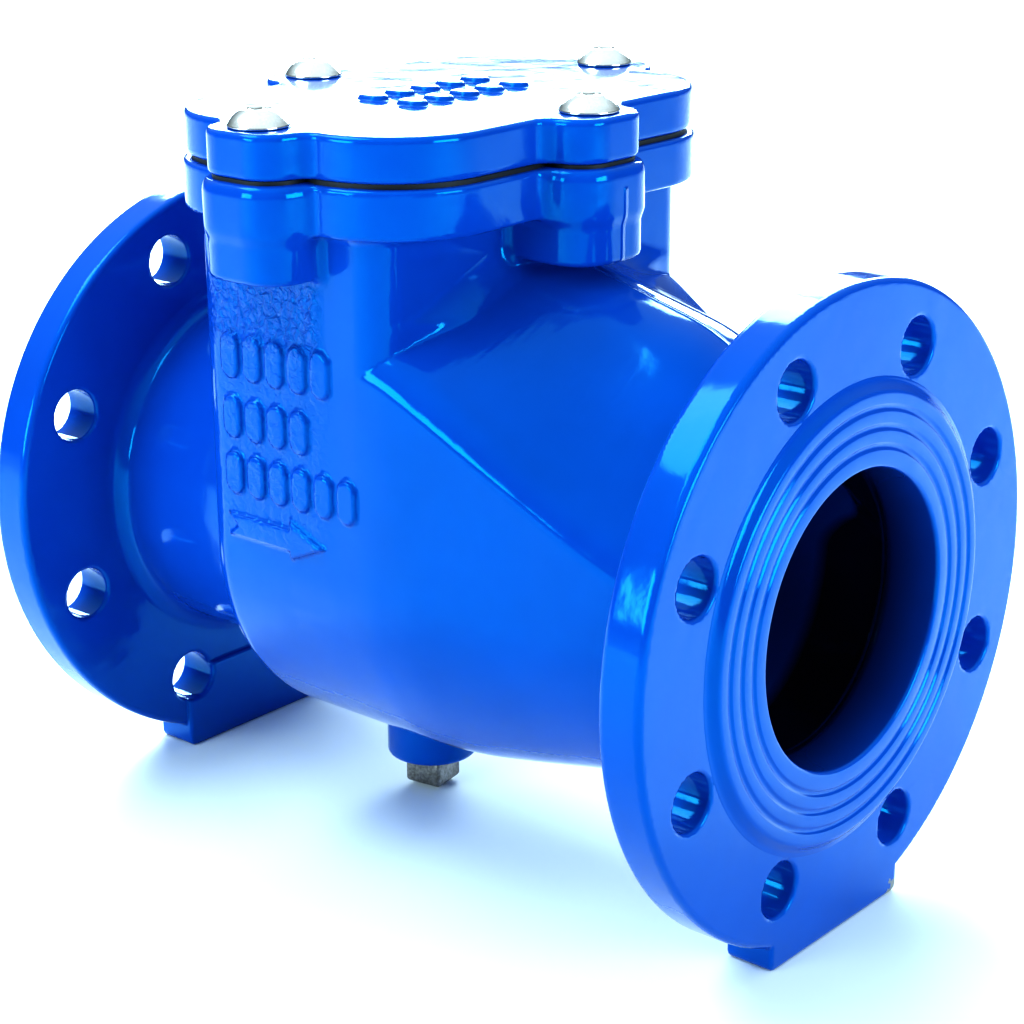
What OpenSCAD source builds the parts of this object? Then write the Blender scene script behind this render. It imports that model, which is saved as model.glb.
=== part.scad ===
// Flanged swing check valve with a bolted cover.
// X runs along the pipe, and the flow leaves towards +X. Z is up.
// The origin is on the floor between the feet, halfway between the two flange faces.

/* [Pipe ends] */
// Length between the two raised flange faces
face_to_face = 300; // [290:5:380]
// Bore of the pipe ends and of the seat
bore_d = 100; // [80:1:104]
// Outside diameter of both flanges
flange_d = 220; // [212:1:270]
// Thickness of the flanges behind the raised face
flange_t = 16; // [12:1:20]
// Diameter of the raised sealing face
raised_d = 156; // [130:1:158]
// Height of the raised sealing face
raised_h = 3; // [1:0.5:4]
// Circle that the flange bolt holes lie on
bolt_circle_d = 180; // [178:1:184]
// Diameter of the flange bolt holes
bolt_hole_d = 19; // [14:0.5:20]
// Number of bolt holes in each flange
bolt_count = 8; // [4:4:8]
// Height of the pipe axis above the floor
axis_h = 112; // [108:1:150]
// Width of the cast feet under the flanges
foot_w = 76; // [60:1:100]

/* [Body casting] */
// Wall thickness of the casting
wall = 9.5; // [7:0.5:11]
// Length of the chest along the pipe
chest_len = 87; // [84:1:105]
// How far the chest's middle lies upstream of the valve's middle
chest_shift = 24; // [22:0.5:32]
// Rounding of the chest's edges
chest_r = 12; // [8:1:14]
// Height of the cover joint above the pipe axis
joint_h = 135; // [130:0.5:160]
// Thickness of the top flange of the body
top_flange_t = 16.5; // [12:0.5:20]
// Height of the bolt lugs of the body
lug_h = 32; // [28:1:36]
// Outside diameter of the inlet neck
neck_d = 129; // [122:1:140]

/* [Cover and bolts] */
// Thickness of the cover
cover_t = 15; // [10:0.5:22]
// Thickness of the cover gasket
gasket_t = 1.5; // [1:0.1:3]
// How far the cover overhangs the chest at each end
cover_reach = 16.5; // [12:0.5:18]
// Corner radius of the cover
cover_r = 36; // [30:1:42]
// Width of the bolt lugs
lug_w = 36; // [32:1:40]
// Thread size of the cover bolts
cover_bolt_d = 12; // [10:1:14]
// Length of the cover bolts under the head
cover_bolt_l = 36; // [32:1:38]

/* [Flap] */
// How far the flap overlaps the bore all round
disc_lap = 12; // [9:0.5:14]
// Clear space between the flap's edge and the chest wall
disc_clear = 9.5; // [6:0.5:16]
// Thickness of the flap's iron core
disc_t = 10; // [8:0.5:14]
// Thickness of the rubber on the face of the flap
rubber_t = 6; // [4:0.5:7]
// Diameter of the hinge pin
hinge_pin_d = 12; // [10:0.5:15]
// Thickness of the hinge arm
arm_t = 11.8; // [9:0.2:15]
// Thread size of the flap's stud
stud_d = 16; // [12:0.5:20]
// Radial running clearance of the hinge and the stud
running_gap = 0.05; // [0.02:0.01:0.1]

/* [Drain] */
// Diameter of the drain boss
drain_boss_d = 34; // [28:1:42]
// Width across the flats of the drain plug's square head
drain_head_w = 15; // [12:1:20]
// Angle that the plug was left at
drain_turn = 9; // [0:1:45]

/* [Hidden] */
$fn = 64;

paint = "royalblue";
tiny = 0.02;         // gap between pieces that are fastened together
slip = 0.2;          // end gap between pieces that turn on each other
sink = 2;            // how deep one cast shape runs into the next
past = 1;            // how far a cut runs past the face it opens

half_l = face_to_face / 2;
bore_r = bore_d / 2;
flange_x = half_l - raised_h;
flange_back_x = flange_x - flange_t;
edge = 2;            // softened edges of the flanges
hub_grow = 2;        // the hub at a flange is this much larger than the pipe wall
hub_slope = 4;
foot_h = axis_h - bolt_circle_d / 2 - bolt_hole_d / 2 - 1;
groove_w = 1.6;
groove_depth = 0.7;
groove_shares = [0.28, 0.52, 0.76];    // places across the raised face, from bore to edge
seal_w = raised_d / 2 - raised_h - bore_r;

// Flap and chest widths follow the bore
disc_r = bore_r + disc_lap;
chamber_w = disc_r + disc_clear;
chest_w = chamber_w + wall;

// Chest along X
chest_x = -chest_shift;
chest_x0 = chest_x - chest_len / 2;
chest_x1 = chest_x + chest_len / 2;
chamber_x0 = chest_x0 + wall;
chamber_x1 = chest_x1 - wall;
chamber_r = chest_r - 2;

// Seat
seat_boss_l = 9.5;
seat_boss_over = 1;  // the boss stands out past the flap's edge
seat_ring_wall = 7;
seat_ring_l = 12;
seat_proud = 2;
seat_x = chamber_x0 + seat_boss_l + seat_proud;

// Outlet: three stations along X, each one round below and broad-shouldered above
station_x = [chest_x1 - 10, chest_x1 + 70, flange_back_x];
station_r = [chest_w, bore_r + 18, bore_r + 12];
shoulder_y = [chest_w - 14.5, bore_r + 5, bore_r - 12];
shoulder_z = [joint_h - 62, 30, 8];
shoulder_r = [14, 13, 22];
crown_z = [joint_h - 53.5, 54, 33];
crown_r = [26, 33, 30];
slice_t = 0.5;
slice_fn = 40;
funnel_x0 = chamber_x1 - 15;
funnel_x1 = flange_back_x - 4;

// Cover outline, centred over the chest
cover_hx = chest_len / 2 + cover_reach;
cover_hy = chest_w + 5;
bolt_x = cover_hx + 3.5;
bolt_y = cover_hy + 2.3;
lug_past = 13.5;
lug_r = 12;
flange_over = 1;     // the body's top flange stands this far outside the cover
cover_z = joint_h + gasket_t;
spigot_h = 4;
spigot_gap = 1;
head_d = 1.75 * cover_bolt_d;
head_h = 0.58 * cover_bolt_d;
socket_af = 0.66 * cover_bolt_d;
socket_depth = 0.35 * cover_bolt_d;
bolt_spare = 3;      // thread left below the end of a bolt
bolt_gap = 0.75;     // radial clearance of the bolts in the cover
gasket_inset = 1.2;  // the gasket's edge lies this far inside the cover's

// Hinge above the flap
barrel_wall = 5;
bush_wall = 2;
hinge_r = hinge_pin_d / 2;
barrel_r = hinge_r + barrel_wall;
hinge_x = seat_x + rubber_t;
hinge_z = disc_r + barrel_r + 3;
barrel_w = 36;
washer_t = 1.5;
ear_t = 10;
ear_in = barrel_w / 2 + washer_t + 2 * slip;
ear_out = ear_in + ear_t;
plate_z = hinge_z + barrel_r + 5;
plate_t = 10;
plate_x1 = hinge_x + 2 * barrel_r - 2;
spring_t = 2.2;
pin_head_t = 4;
pin_tail = 10.5;     // the pin's end beyond the ear, with its washer and split pin
pin_cotter_y = ear_out + pin_tail - 3.9;
ledge_h = 16;
ledge_w = 16;
ledge_y = ear_out + pin_tail + 2;
screw_d = 10;
screw_l = 22;
screw_x = hinge_x - 3;
screw_y = ledge_y + ledge_w / 2;
plate_hy = screw_y + ledge_w / 2;
screw_floor = 2;     // iron left below the threaded hole
screw_head_h = 0.64 * screw_d;
screw_head_af = 1.6 * screw_d;
spring_r = 0.85 * screw_d;
spring_gap = 0.3;
spring_split = 1;
hole_gap = 0.5;      // radial clearance of the bracket's screw holes
plate_gap = 0.5;     // between the bracket and the inlet wall
pin_head_over = 3;
pin_washer_over = 5;
pin_washer_t = 2.5;
bush_space = 3;      // half the gap between the two bushes

// Flap along X, from the seat
core_x = seat_x + rubber_t;
core_back_x = core_x + disc_t;
rim_t = 5;
pad_r = stud_d;
pad_h = 2;
arm_x0 = core_back_x + pad_h + slip;
arm_x1 = arm_x0 + arm_t;
eye_r = stud_d / 2 + 9;
eye_l = arm_t + 2;
flap_washer_t = 2.8;
nut_x = arm_x0 + eye_l + slip + flap_washer_t;
nut_h = 0.8 * stud_d;
nut_af = 1.5 * stud_d;
cotter_d = 3;
cotter_out = 4;      // the legs of a split pin stand out this far
castle_h = cotter_d + 2;
slot_w = cotter_d + 0.6;
stud_end_x = nut_x + nut_h + 2;
heel_l = 2 * barrel_r + 1;
heel_t = 8;
heel_w = barrel_w - 6;
open_angle = 60;     // the heel meets the bracket here
heel_reach = sqrt(heel_l * heel_l + heel_t * heel_t / 4);
heel_angle = open_angle - asin((plate_z - hinge_z - slip) / heel_reach) + atan(heel_t / 2 / heel_l);
arm_w = 24;

// Drain under the chest
drain_x = chest_x - 11;
drain_bottom = -chest_w - 17.5;
drain_r = drain_head_w * 0.6;
drain_head_h = 10;
drain_thread_l = 16;
drain_neck = 2;      // bare shank between the boss and the square head
drain_boss_h = 25;
drain_hole_l = 40;

// Raised marks on the side of the chest
mark_h = 1.8;
mark_pitch = 10.6;
mark_w = 8.4;
mark_rows = [[63, 16, 5], [42, 15, 4], [22, 15, 6]];   // bottom, height, how many
mark_x = chest_x0 + 14;
mark_root = 1;       // how deep a mark is rooted in the wall
arrow_z = 10.5;
arrow = [[0, -4], [30, -4], [30, -7], [46, 0], [30, 7], [30, 4], [0, 4], [5, 0]];
pill = [11, 8];      // bars on the cover
pill_x = 9;
pill_pitch = 13;

// Turns a solid built along Z so that it lies along X, centred on the pipe axis
module along_pipe(x) {
    translate([x, 0, axis_h])
        rotate([0, 90, 0])
            children();
}

// A solid of revolution round the pipe axis; its profile is drawn as [radius, x]
module pipe_turned() {
    translate([0, 0, axis_h])
        rotate([0, 90, 0])
            rotate_extrude($fn = 128)
                children();
}

// A cylinder along the pipe from x0 to x1
module pipe_rod(x0, x1, r) {
    along_pipe(x0)
        cylinder(h = x1 - x0, r = r);
}

// A cylinder along Y at a point of the pipe frame
module cross_rod(x, z, y0, y1, r) {
    translate([x, y0, axis_h + z])
        rotate([-90, 0, 0])
            cylinder(h = y1 - y0, r = r);
}

// Rectangle from [x0, -hy] to [x1, hy] with round corners
module round_plan(x0, x1, hy, r) {
    translate([x0 + r, -hy])
        square([x1 - x0 - 2 * r, 2 * hy]);
    translate([x0, -hy + r])
        square([x1 - x0, 2 * hy - 2 * r]);
    for (x = [x0 + r, x1 - r], y = [-hy + r, hy - r])
        translate([x, y])
            circle(r = r);
}

// A raised or sunk block over a plan, between two heights above the pipe axis
module plan_block(z0, z1) {
    translate([0, 0, axis_h + z0])
        linear_extrude(height = z1 - z0)
            children();
}

// Outline shared by the cover, the gasket and the body's top flange
module cover_plan(grow = 0) {
    round_plan(chest_x - cover_hx - grow, chest_x + cover_hx + grow, cover_hy + grow, cover_r);
    bolt_lugs(grow);
}

// The four lugs that hold the cover bolts
module bolt_lugs(grow = 0) {
    round_plan(chest_x - bolt_x - lug_past - grow, chest_x + bolt_x + lug_past + grow,
               lug_w / 2 + grow, lug_r);
    round_plan(chest_x - lug_w / 2 - grow, chest_x + lug_w / 2 + grow,
               bolt_y + lug_past + grow, lug_r);
}

// Puts its children at the four cover bolts
module at_cover_bolts(z) {
    for (p = [[bolt_x, 0], [-bolt_x, 0], [0, bolt_y], [0, -bolt_y]])
        translate([chest_x + p.x, p.y, axis_h + z])
            children();
}

// Half section of a flange: plate, raised face, hub and rounded edges, as [radius, x]
function flange_profile(hub_r) = [
    [0, flange_back_x - sink], [hub_r, flange_back_x - sink], [hub_r + hub_slope, flange_back_x],
    [flange_d / 2 - edge, flange_back_x], [flange_d / 2, flange_back_x + edge],
    [flange_d / 2, flange_x - edge], [flange_d / 2 - edge, flange_x], [raised_d / 2, flange_x],
    [raised_d / 2 - raised_h, half_l], [0, half_l]];

module flange(side, hub_r) {
    mirror([side < 0 ? 1 : 0, 0, 0]) {
        pipe_turned()
            polygon(flange_profile(hub_r));
        // cast foot, flush with the face of the flange
        translate([flange_back_x - sink, -foot_w / 2, 0])
            cube([flange_t + sink, foot_w, foot_h]);
    }
}

// Bolt holes and water-line grooves of one flange
module flange_cuts(side) {
    mirror([side < 0 ? 1 : 0, 0, 0]) {
        for (i = [0 : bolt_count - 1])
            translate([0, 0, axis_h])
                rotate([(i + 0.5) * 360 / bolt_count, 0, 0])
                    translate([flange_back_x - 2 * sink, 0, bolt_circle_d / 2])
                        rotate([0, 90, 0])
                            cylinder(h = flange_t + 3 * sink, d = bolt_hole_d);
        for (share = groove_shares)
            pipe_turned()
                translate([bore_r + share * seal_w - groove_w / 2, half_l - groove_depth])
                    square([groove_w, groove_depth + past]);
    }
}

// One slice of the outlet: a disc, two shoulders and a crown; inset makes the inner skin
module outlet_slice(i, inset) {
    translate([station_x[i], 0, axis_h])
        rotate([90, 0, 90])
            linear_extrude(height = slice_t)
                union() {
                    circle(r = station_r[i] - inset);
                    for (side = [-1, 1])
                        translate([side * shoulder_y[i], shoulder_z[i]])
                            circle(r = shoulder_r[i] - inset);
                    translate([0, crown_z[i]])
                        circle(r = crown_r[i] - inset);
                }
}

module outlet_form(inset) {
    hull() {
        for (i = [0 : 2])
            outlet_slice(i, inset, $fn = slice_fn);
    }
}

// The chest: round below the pipe axis, straight-sided above it
module chest_form(x0, x1, w, r, top) {
    plan_block(0, top)
        round_plan(x0, x1, w, r);
    intersection() {
        pipe_turned() {
            square_from(0, x0, w - r, x1);
            square_from(0, x0 + r, w, x1 - r);
            for (x = [x0 + r, x1 - r])
                translate([w - r, x])
                    circle(r = r);
        }
        translate([x0 - past, -w - past, axis_h - w - past])
            cube([x1 - x0 + 2 * past, 2 * (w + past), w + past]);
    }
}

// Rectangle between two corners
module square_from(x0, y0, x1, y1) {
    translate([x0, y0])
        square([x1 - x0, y1 - y0]);
}

// A short raised bar with round ends, standing on the -Y side of the chest
module raised_bar(x, z, w, h) {
    translate([x, -chest_w + mark_root, axis_h + z])
        rotate([90, 0, 0])
            linear_extrude(height = mark_h + mark_root) {
                translate([w / 2, w / 2])
                    circle(d = w);
                translate([w / 2, h - w / 2])
                    circle(d = w);
                translate([0, w / 2])
                    square([w, h - w]);
            }
}

// Plain raised marks: three rows of bars and an arrow that shows the direction of flow
module flow_marks() {
    for (row = mark_rows, i = [0 : row[2] - 1])
        raised_bar(mark_x + i * mark_pitch, row[0], mark_w, row[1]);
    translate([mark_x, -chest_w + mark_root, axis_h + arrow_z])
        rotate([90, 0, 0])
            linear_extrude(height = mark_h + mark_root)
                polygon(arrow);
}

// Two ledges on the inlet wall of the chamber, which carry the hanger bracket
module ledges() {
    for (side = [-1, 1])
        mirror([0, side < 0 ? 1 : 0, 0])
            translate([chamber_x0 - sink, ledge_y, axis_h + plate_z - ledge_h])
                cube([screw_x + ledge_w / 2 - chamber_x0 + sink, chamber_w + sink - ledge_y, ledge_h]);
}

module body() {
    color(paint)
        difference() {
            union() {
                difference() {
                    union() {
                        flange(-1, neck_d / 2 + hub_grow);
                        flange(1, station_r[2] + hub_grow);
                        pipe_rod(-flange_back_x - sink, chest_x0 + chest_r, neck_d / 2);
                        chest_form(chest_x0, chest_x1, chest_w, chest_r, joint_h - sink);
                        outlet_form(0);
                        plan_block(joint_h - top_flange_t, joint_h)
                            cover_plan(flange_over);
                        plan_block(joint_h - lug_h, joint_h - sink)
                            bolt_lugs(flange_over);
                        translate([drain_x, 0, axis_h + drain_bottom])
                            cylinder(h = drain_boss_h, d = drain_boss_d);
                        flow_marks();
                    }
                    chest_form(chamber_x0, chamber_x1, chamber_w, chamber_r, joint_h + past);
                    intersection() {
                        outlet_form(wall);
                        pipe_rod(funnel_x0, funnel_x1, 2 * joint_h);
                    }
                }
                pipe_rod(chamber_x0 - sink, chamber_x0 + seat_boss_l, disc_r + seat_boss_over);
                ledges();
            }
            pipe_rod(-half_l - past, seat_x + past, bore_r);
            pipe_rod(seat_x - seat_ring_l, seat_x + past, bore_r + seat_ring_wall);
            pipe_rod(chamber_x1, half_l + past, bore_r);
            flange_cuts(-1);
            flange_cuts(1);
            at_cover_bolts(cover_z + cover_t - cover_bolt_l - bolt_spare)
                cylinder(h = cover_bolt_l, r = cover_bolt_d / 2 + tiny);
            for (side = [-1, 1])
                translate([screw_x, side * screw_y, axis_h + plate_z - ledge_h + screw_floor])
                    cylinder(h = ledge_h, r = screw_d / 2 + tiny);
            translate([drain_x, 0, axis_h + drain_bottom - past])
                cylinder(h = drain_hole_l, r = drain_r + tiny);
        }
}

module cover() {
    color(paint)
        difference() {
            union() {
                plan_block(cover_z, cover_z + cover_t)
                    cover_plan();
                // spigot that centres the cover in the opening
                plan_block(joint_h - spigot_h, cover_z + past)
                    round_plan(chamber_x0 + spigot_gap, chamber_x1 - spigot_gap,
                               chamber_w - spigot_gap, chamber_r - spigot_gap);
                // two rows of raised bars in the middle of the cover
                plan_block(cover_z + cover_t - mark_root, cover_z + cover_t + mark_h)
                    for (i = [-2 : 2], j = [-1, 1])
                        translate([chest_x + j * pill_x, i * pill_pitch])
                            pill_plan(pill.x, pill.y);
            }
            at_cover_bolts(cover_z - past)
                cylinder(h = cover_t + 2 * past, r = cover_bolt_d / 2 + bolt_gap);
        }
}

// Flat bar with round ends, drawn along X
module pill_plan(l, w) {
    square([l - w, w], center = true);
    for (side = [-1, 1])
        translate([side * (l - w) / 2, 0])
            circle(d = w);
}

module cover_gasket() {
    color("black")
        difference() {
            plan_block(joint_h, cover_z)
                cover_plan(-gasket_inset);
            plan_block(joint_h - past, cover_z + past)
                round_plan(chamber_x0, chamber_x1, chamber_w, chamber_r);
            at_cover_bolts(joint_h - past)
                cylinder(h = gasket_t + 2 * past, r = cover_bolt_d / 2 + bolt_gap);
        }
}

// Button-head socket screws
module cover_bolts() {
    ball_r = (head_d * head_d / 4 + head_h * head_h) / (2 * head_h);
    color("silver")
        at_cover_bolts(cover_z + cover_t)
            difference() {
                union() {
                    intersection() {
                        translate([0, 0, head_h - ball_r])
                            sphere(r = ball_r);
                        cylinder(h = head_h, d = head_d);
                    }
                    translate([0, 0, -cover_bolt_l])
                        cylinder(h = cover_bolt_l + past, d = cover_bolt_d);
                }
                translate([0, 0, head_h - socket_depth])
                    cylinder(h = socket_depth + past, d = socket_af / cos(30), $fn = 6);
            }
}

module body_seat_ring() {
    color("goldenrod")
        difference() {
            pipe_rod(seat_x - seat_ring_l, seat_x, bore_r + seat_ring_wall - tiny);
            pipe_rod(seat_x - seat_ring_l - past, seat_x + past, bore_r);
        }
}

module hanger_bracket() {
    color("slategray")
        difference() {
            union() {
                // the plate's corners follow the round corners of the chamber
                intersection() {
                    translate([chamber_x0 + plate_gap, -plate_hy, axis_h + plate_z])
                        cube([plate_x1 - chamber_x0 - plate_gap, 2 * plate_hy, plate_t]);
                    plan_block(plate_z - past, plate_z + plate_t + past)
                        round_plan(chamber_x0 + plate_gap, chamber_x1 - plate_gap,
                                   chamber_w - plate_gap, chamber_r - plate_gap);
                }
                for (side = [-1, 1]) {
                    y0 = side < 0 ? -ear_out : ear_in;
                    cross_rod(hinge_x, hinge_z, y0, y0 + ear_t, barrel_r);
                    translate([hinge_x - barrel_r, y0, axis_h + hinge_z])
                        cube([2 * barrel_r, ear_t, plate_z - hinge_z + past]);
                }
            }
            cross_rod(hinge_x, hinge_z, -ear_out - past, ear_out + past, hinge_r + tiny);
            for (side = [-1, 1])
                translate([screw_x, side * screw_y, axis_h + plate_z - past])
                    cylinder(h = plate_t + 2 * past, r = screw_d / 2 + hole_gap);
        }
}

module hanger_screws() {
    color("silver")
        for (side = [-1, 1])
            translate([screw_x, side * screw_y, axis_h + plate_z + plate_t + spring_t]) {
                cylinder(h = screw_head_h, d = screw_head_af / cos(30), $fn = 6);
                translate([0, 0, -screw_l])
                    cylinder(h = screw_l + past, d = screw_d);
            }
}

module hanger_spring_washers() {
    color("silver")
        for (side = [-1, 1])
            translate([screw_x, side * screw_y, axis_h + plate_z + plate_t])
                difference() {
                    cylinder(h = spring_t, r = spring_r);
                    translate([0, 0, -past])
                        cylinder(h = spring_t + 2 * past, r = screw_d / 2 + spring_gap);
                    translate([0, -spring_split / 2, -past])
                        cube([screw_d, spring_split, spring_t + 2 * past]);
                }
}

module hinge_pin() {
    color("silver")
        difference() {
            union() {
                cross_rod(hinge_x, hinge_z, -ear_out - pin_head_t, -ear_out,
                          hinge_r + pin_head_over);
                cross_rod(hinge_x, hinge_z, -ear_out - past, ear_out + pin_tail, hinge_r);
            }
            translate([hinge_x, pin_cotter_y, axis_h + hinge_z - 2 * hinge_r])
                cylinder(h = 4 * hinge_r, d = cotter_d + 2 * tiny);
        }
}

module hinge_pin_washer() {
    color("silver")
        difference() {
            cross_rod(hinge_x, hinge_z, ear_out, ear_out + pin_washer_t, hinge_r + pin_washer_over);
            cross_rod(hinge_x, hinge_z, ear_out - past, ear_out + pin_washer_t + past,
                      hinge_r + spring_gap);
        }
}

module hinge_pin_cotter() {
    color("silver")
        translate([hinge_x, pin_cotter_y, axis_h + hinge_z])
            cotter(2 * hinge_r);
}

// A split pin along Z through a shaft of the given diameter, with its eye on top
module cotter(shaft_d) {
    eye = 0.9 * cotter_d;
    wire = 0.35 * cotter_d;
    translate([0, 0, -shaft_d / 2 - cotter_out])
        cylinder(h = shaft_d + cotter_out + past, d = cotter_d);
    translate([0, 0, shaft_d / 2 + eye + wire + slip])
        rotate([0, 90, 0])
            rotate_extrude()
                translate([eye, 0])
                    circle(r = wire);
}

module thrust_washers() {
    color("goldenrod")
        for (side = [-1, 1]) {
            y0 = side < 0 ? -ear_in : ear_in - washer_t;
            difference() {
                cross_rod(hinge_x, hinge_z, y0, y0 + washer_t, barrel_r - 1);
                cross_rod(hinge_x, hinge_z, y0 - past, y0 + washer_t + past, hinge_r + tiny);
            }
        }
}

module hinge_arm() {
    color("slategray")
        difference() {
            union() {
                cross_rod(hinge_x, hinge_z, -barrel_w / 2, barrel_w / 2, barrel_r);
                pipe_rod(arm_x0, arm_x0 + eye_l, eye_r);
                // cranked web from the barrel down behind the flap
                translate([0, arm_w / 2, axis_h])
                    rotate([90, 0, 0])
                        linear_extrude(height = arm_w)
                            polygon([[hinge_x, hinge_z + barrel_r - 1],
                                     [hinge_x + barrel_r + 2, hinge_z - 3],
                                     [arm_x1, hinge_z - 14],
                                     [arm_x1, 0],
                                     [arm_x0, 0],
                                     [arm_x0, disc_r + 2],
                                     [hinge_x, disc_r + 4]]);
                // heel that meets the bracket when the flap is fully open
                translate([hinge_x, 0, axis_h + hinge_z])
                    rotate([0, heel_angle, 0])
                        translate([0, -heel_w / 2, -heel_t / 2])
                            cube([heel_l, heel_w, heel_t]);
            }
            cross_rod(hinge_x, hinge_z, -barrel_w, barrel_w, hinge_r + bush_wall);
            pipe_rod(arm_x0 - past, arm_x0 + eye_l + past, stud_d / 2 + running_gap);
        }
}

module arm_bushes() {
    bush_l = barrel_w / 2 - bush_space;
    color("goldenrod")
        for (y0 = [-barrel_w / 2, barrel_w / 2 - bush_l])
            difference() {
                cross_rod(hinge_x, hinge_z, y0, y0 + bush_l, hinge_r + bush_wall - tiny);
                cross_rod(hinge_x, hinge_z, y0 - past, y0 + bush_l + past, hinge_r + running_gap);
            }
}

module disc() {
    color("dimgray")
        difference() {
            union() {
                pipe_rod(core_x, core_back_x, disc_r - rim_t);
                pipe_rod(core_x, core_back_x + pad_h, pad_r);
                pipe_rod(core_x, stud_end_x, stud_d / 2);
            }
            translate([stud_end_x - castle_h, 0, axis_h - stud_d])
                cylinder(h = 2 * stud_d, d = cotter_d + 2 * tiny);
        }
}

module disc_rubber() {
    color("black")
        difference() {
            pipe_rod(seat_x, core_back_x - 1, disc_r);
            pipe_rod(core_x, core_back_x, disc_r - rim_t);
        }
}

module disc_washer() {
    color("silver")
        difference() {
            pipe_rod(nut_x - flap_washer_t, nut_x, eye_r - 1);
            pipe_rod(nut_x - flap_washer_t - past, nut_x + past, stud_d / 2 + slip);
        }
}

// Hexagon nut with slots for the split pin
module disc_nut() {
    color("silver")
        difference() {
            along_pipe(nut_x)
                cylinder(h = nut_h, d = nut_af / cos(30), $fn = 6);
            pipe_rod(nut_x - past, nut_x + nut_h + past, stud_d / 2 + tiny);
            for (turn = [0, 60, 120])
                translate([0, 0, axis_h])
                    rotate([turn, 0, 0])
                        translate([stud_end_x - castle_h - slot_w / 2, -slot_w / 2, -nut_af])
                            cube([castle_h + cotter_d, slot_w, 2 * nut_af]);
        }
}

module disc_cotter() {
    color("silver")
        translate([stud_end_x - castle_h, 0, axis_h])
            cotter(nut_af / cos(30));
}

module drain_plug() {
    color("darkgray")
        translate([drain_x, 0, axis_h + drain_bottom - drain_neck]) {
            cylinder(h = drain_thread_l, r = drain_r);
            rotate([0, 0, drain_turn])
                translate([-drain_head_w / 2, -drain_head_w / 2, -drain_head_h])
                    cube([drain_head_w, drain_head_w, drain_head_h + past]);
        }
}

body();
cover();
cover_gasket();
cover_bolts();
body_seat_ring();
hanger_bracket();
hanger_screws();
hanger_spring_washers();
hinge_pin();
hinge_pin_washer();
hinge_pin_cotter();
thrust_washers();
hinge_arm();
arm_bushes();
disc();
disc_rubber();
disc_washer();
disc_nut();
disc_cotter();
drain_plug();
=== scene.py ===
# %% [markdown]
# # A flanged swing check valve
# The real valve is two iron castings, a body and a cover, dipped hot into blue epoxy powder,
# with a steel-and-rubber flap hung inside. The CAD model gives every piece its size and place.
# This lesson gives the outer pieces the soft edges, fillets and glossy coat that castings have.

# %% Load the frame
import math

import bpy
import numpy as np
from mathutils import Matrix


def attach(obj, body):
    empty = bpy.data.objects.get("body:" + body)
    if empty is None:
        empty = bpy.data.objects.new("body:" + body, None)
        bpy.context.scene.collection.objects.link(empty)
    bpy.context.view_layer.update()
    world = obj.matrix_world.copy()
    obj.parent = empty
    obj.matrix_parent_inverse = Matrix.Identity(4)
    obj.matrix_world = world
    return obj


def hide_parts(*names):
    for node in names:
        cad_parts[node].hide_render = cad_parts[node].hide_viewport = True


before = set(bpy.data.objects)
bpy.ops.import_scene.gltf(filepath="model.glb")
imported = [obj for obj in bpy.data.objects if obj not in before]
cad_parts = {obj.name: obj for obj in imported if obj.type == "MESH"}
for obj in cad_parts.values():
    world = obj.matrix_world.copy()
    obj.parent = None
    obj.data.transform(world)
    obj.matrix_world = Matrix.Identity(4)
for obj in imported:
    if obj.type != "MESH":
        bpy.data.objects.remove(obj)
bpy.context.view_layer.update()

# %% [markdown]
# ## The camera and the light
# A product picture of a glossy thing is mostly a picture of what it reflects. A long lens keeps
# the flanges from bulging. One large soft light stands behind and above the valve, so that the
# upward faces shine. A small one above draws the bright line along the shoulder, and two weaker
# ones fill the front and the outlet side. The room is bright overhead and dim at eye level, so
# that the walls of the valve stay deep blue.

# %% Camera
camera_data = bpy.data.cameras.new("camera")
camera_data.sensor_width = 36
camera_data.lens = 83.16
camera_data.clip_start, camera_data.clip_end = 0.05, 20
camera = bpy.data.objects.new("camera", camera_data)
bpy.context.scene.collection.objects.link(camera)
camera_right = (0.761394, 0.648269, -0.005138)
camera_up = (-0.205785, 0.249196, 0.946337)
camera_back = (0.614761, -0.719478, 0.323140)
camera_turn = Matrix((camera_right, camera_up, camera_back)).transposed().to_4x4()
camera.matrix_world = Matrix.Translation((0.523391, -0.606299, 0.389706)) @ camera_turn
bpy.context.scene.camera = camera
print("camera", [round(v, 3) for v in camera.location])


# %% Lights, world and floor
def linear(hex_colour):
    """An sRGB hex colour as linear red, green, blue and an alpha of one."""
    value = np.array([int(hex_colour[i:i + 2], 16) for i in (1, 3, 5)]) / 255
    low, high = value / 12.92, ((value + 0.055) / 1.055) ** 2.4
    return (*np.where(value <= 0.04045, low, high).tolist(), 1.0)


def add(tree, kind, inputs, **settings):
    """Adds a node with its settings; an input that is a socket is linked, any other is its value."""
    node = tree.nodes.new("ShaderNode" + kind)
    for key, value in settings.items():
        setattr(node, key, value)
    for key, value in inputs.items():
        if isinstance(value, bpy.types.NodeSocket):
            tree.links.new(value, node.inputs[key])
        else:
            node.inputs[key].default_value = value
    return node


COOL = linear("#D4F2FF")


def softbox(name, place, target, width, height, watts):
    """A rectangular area light at a place, turned so that it faces the target."""
    data = bpy.data.lights.new(name, "AREA")
    data.shape, data.size, data.size_y, data.energy = "RECTANGLE", width, height, watts
    data.color = COOL[:3]
    lamp = bpy.data.objects.new(name, data)
    bpy.context.scene.collection.objects.link(lamp)
    aim = Matrix.Translation(place).translation - Matrix.Translation(target).translation
    lamp.matrix_world = Matrix.Translation(place) @ aim.to_track_quat("Z", "Y").to_matrix().to_4x4()
    return lamp


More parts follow.
